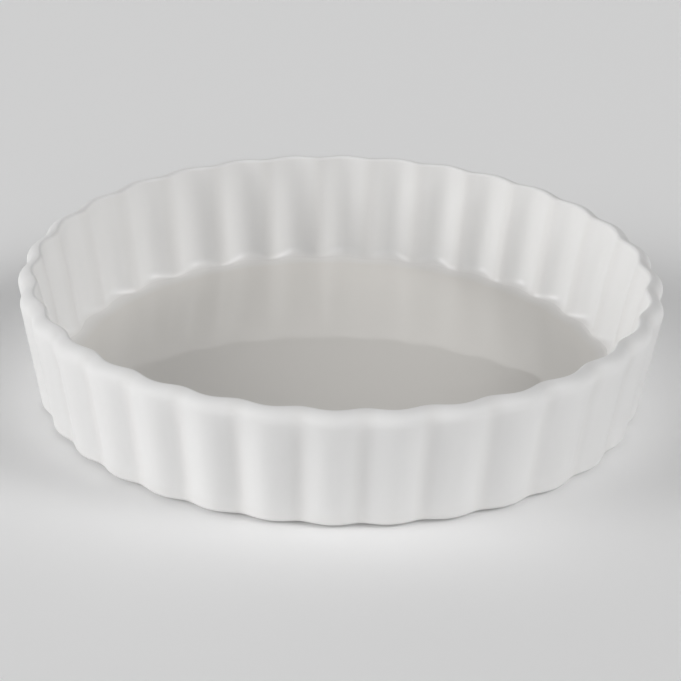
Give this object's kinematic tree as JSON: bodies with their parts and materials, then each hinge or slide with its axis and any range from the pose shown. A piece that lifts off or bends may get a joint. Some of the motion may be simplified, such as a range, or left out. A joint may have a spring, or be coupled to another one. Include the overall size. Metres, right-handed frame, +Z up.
{
  "type": "tart pan",
  "caption": "Round fluted tart pan in white glazed porcelain: a flat floor, a flaring fluted wall, a rounded scalloped lip and a low foot ring, in one piece.",
  "frame": {"origin": "centre of the foot ring's underside, on the dish's axis, so z = 0 is the surface that the dish stands on", "axes": "+Z up, along the dish's axis, out of its open top; +X through the crest of a flute"},
  "size_m": [0.127, 0.127, 0.0251],
  "materials": {
    "glaze": "gloss"
  },
  "bodies": {
    "root": {"tart_dish": "glaze"}
  },
  "joints": []
}
